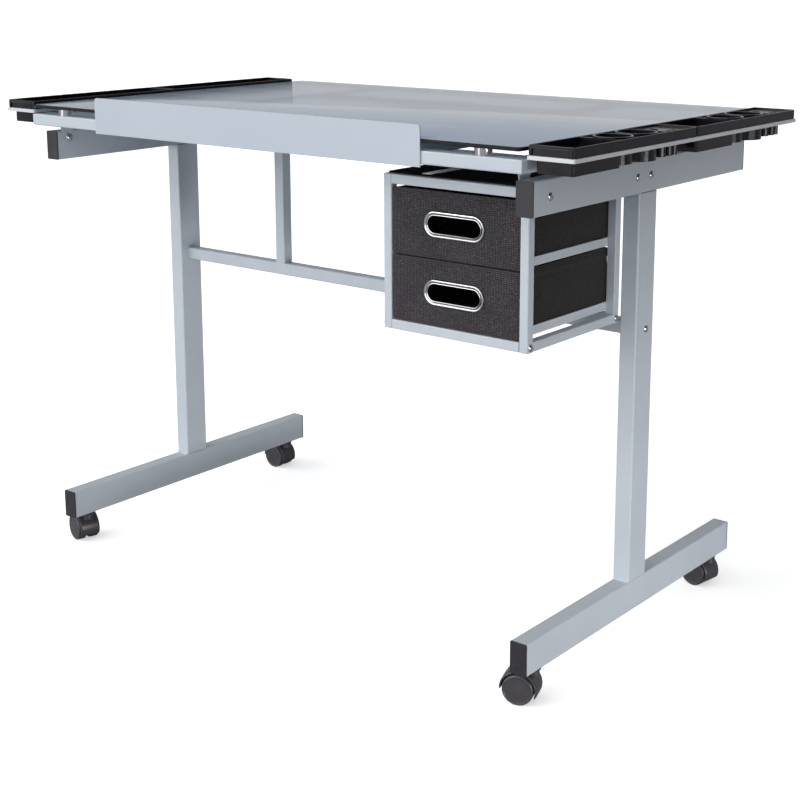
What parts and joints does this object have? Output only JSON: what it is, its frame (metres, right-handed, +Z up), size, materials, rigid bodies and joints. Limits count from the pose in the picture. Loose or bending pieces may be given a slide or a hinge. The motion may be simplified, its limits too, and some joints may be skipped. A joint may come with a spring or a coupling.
{
  "type": "drafting table",
  "caption": "Drafting table on casters with a tilting glass top, sliding pencil ledge, lift-off side trays and a fabric drawer cabinet hung under the right side.",
  "frame": {"origin": "centre of the footprint box on the floor, under the casters' contact plane", "axes": "+X to the user's right along the width, -Y towards the user, +Z up"},
  "size_m": [1.048, 0.6046, 0.741],
  "materials": {
    "frame_steel": "satin silver-blue powder coat",
    "ledge_steel": "satin silver paint",
    "end_cap": "satin black moulded plastic",
    "tray_plastic": "glossy black moulded plastic",
    "glass": "frosted pale blue tempered glass with polished edges",
    "spacer_chrome": "polished",
    "grommet_chrome": "polished",
    "drawer_fabric": "coarse woven, stiffened",
    "rubber": "matt",
    "caster_plastic": "satin black nylon"
  },
  "bodies": {
    "base": {"foot_R": "frame_steel", "post_R": "frame_steel", "rail_R": "frame_steel", "foot_cap_front_R": "end_cap", "foot_cap_rear_R": "end_cap", "rail_cap_front_R": "end_cap", "rail_cap_rear_R": "end_cap", "cabinet_side_R": "frame_steel", "rest_bumper_R": "rubber", "foot_L": "frame_steel", "post_L": "frame_steel", "rail_L": "frame_steel", "foot_cap_front_L": "end_cap", "foot_cap_rear_L": "end_cap", "rail_cap_front_L": "end_cap", "rail_cap_rear_L": "end_cap", "cabinet_side_L": "frame_steel", "rest_bumper_L": "rubber", "cabinet_bar_front_top": "frame_steel", "cabinet_bar_front_bottom": "frame_steel", "cabinet_bar_rear_top": "frame_steel", "cabinet_bar_rear_bottom": "frame_steel", "cabinet_top_panel": "drawer_fabric", "back_frame": "frame_steel", "prop_bracket": "frame_steel"},
    "tabletop": {"top_frame_front": "frame_steel", "top_frame_rear": "frame_steel", "top_frame_left": "frame_steel", "top_frame_right": "frame_steel", "under_brace": "frame_steel", "tray_ring_R": "frame_steel", "tray_ring_L": "frame_steel", "hinge_bracket_R": "frame_steel", "hinge_bracket_L": "frame_steel", "tilt_catch": "frame_steel", "glass_top": "glass", "glass_spacer_front_left": "spacer_chrome", "glass_spacer_front_centre": "spacer_chrome", "glass_spacer_front_right": "spacer_chrome", "glass_spacer_rear_left": "spacer_chrome", "glass_spacer_rear_centre": "spacer_chrome", "glass_spacer_rear_right": "spacer_chrome"},
    "prop": {"prop_arm": "frame_steel"},
    "ledge": {"pencil_ledge": "ledge_steel"},
    "tray_right_front": {"tray_right_front": "tray_plastic"},
    "tray_right_rear": {"tray_right_rear": "tray_plastic"},
    "tray_left_front": {"tray_left_front": "tray_plastic"},
    "tray_left_rear": {"tray_left_rear": "tray_plastic"},
    "drawer_lower": {"drawer_lower": "drawer_fabric", "drawer_grommet_lower": "grommet_chrome"},
    "drawer_upper": {"drawer_upper": "drawer_fabric", "drawer_grommet_upper": "grommet_chrome"},
    "caster_front_right": {"caster_hood_front_right": "caster_plastic"},
    "wheels_front_right": {"caster_wheels_front_right": "caster_plastic"},
    "caster_front_left": {"caster_hood_front_left": "caster_plastic"},
    "wheels_front_left": {"caster_wheels_front_left": "caster_plastic"},
    "caster_rear_right": {"caster_hood_rear_right": "caster_plastic"},
    "wheels_rear_right": {"caster_wheels_rear_right": "caster_plastic"},
    "caster_rear_left": {"caster_hood_rear_left": "caster_plastic"},
    "wheels_rear_left": {"caster_wheels_rear_left": "caster_plastic"}
  },
  "joints": [
    {"name": "tilt", "type": "hinge", "parent": "base", "child": "tabletop", "pos_m": [0, -0.2567, 0.6705], "axis": [1, 0, 0], "range_deg": [0, 35]},
    {"name": "prop_swing", "type": "hinge", "parent": "base", "child": "prop", "pos_m": [0, -0.0022, 0.677], "axis": [1, 0, 0], "range_deg": [0, 83.1]},
    {"name": "ledge_slide", "type": "slide", "parent": "tabletop", "child": "ledge", "axis": [0, 0, 1], "range_m": [-0.017, 0]},
    {"name": "tray_right_front_lift", "type": "slide", "parent": "tabletop", "child": "tray_right_front", "axis": [0, 0, 1], "range_m": [0, 0.06]},
    {"name": "tray_right_rear_lift", "type": "slide", "parent": "tabletop", "child": "tray_right_rear", "axis": [0, 0, 1], "range_m": [0, 0.06]},
    {"name": "tray_left_front_lift", "type": "slide", "parent": "tabletop", "child": "tray_left_front", "axis": [0, 0, 1], "range_m": [0, 0.06]},
    {"name": "tray_left_rear_lift", "type": "slide", "parent": "tabletop", "child": "tray_left_rear", "axis": [0, 0, 1], "range_m": [0, 0.06]},
    {"name": "drawer_lower_slide", "type": "slide", "parent": "base", "child": "drawer_lower", "axis": [0, -1, 0], "range_m": [0, 0.17]},
    {"name": "drawer_upper_slide", "type": "slide", "parent": "base", "child": "drawer_upper", "axis": [0, -1, 0], "range_m": [0, 0.17]},
    {"name": "caster_front_right_swivel", "type": "hinge", "parent": "base", "child": "caster_front_right", "pos_m": [0.442, -0.2412, 0.05], "axis": [0, 0, 1], "continuous": true},
    {"name": "caster_front_right_roll", "type": "hinge", "parent": "caster_front_right", "child": "wheels_front_right", "pos_m": [0.42659, -0.24651, 0.021], "axis": [0.3256, -0.9455, 0], "continuous": true},
    {"name": "caster_front_left_swivel", "type": "hinge", "parent": "base", "child": "caster_front_left", "pos_m": [-0.442, -0.2412, 0.05], "axis": [0, 0, 1], "continuous": true},
    {"name": "caster_front_left_roll", "type": "hinge", "parent": "caster_front_left", "child": "wheels_front_left", "pos_m": [-0.45775, -0.23698, 0.021], "axis": [-0.2588, -0.9659, 0], "continuous": true},
    {"name": "caster_rear_right_swivel", "type": "hinge", "parent": "base", "child": "caster_rear_right", "pos_m": [0.442, 0.2328, 0.05], "axis": [0, 0, 1], "continuous": true},
    {"name": "caster_rear_right_roll", "type": "hinge", "parent": "caster_rear_right", "child": "wheels_rear_right", "pos_m": [0.42586, 0.23507, 0.021], "axis": [-0.1392, -0.9903, 0], "continuous": true},
    {"name": "caster_rear_left_swivel", "type": "hinge", "parent": "base", "child": "caster_rear_left", "pos_m": [-0.442, 0.2328, 0.05], "axis": [0, 0, 1], "continuous": true},
    {"name": "caster_rear_left_roll", "type": "hinge", "parent": "caster_rear_left", "child": "wheels_rear_left", "pos_m": [-0.4583, 0.2328, 0.021], "axis": [0, -1, 0], "continuous": true}
  ],
  "couplings": [
    {"joint": "prop_swing", "follows": "tilt", "ratio": 2.3723}
  ]
}
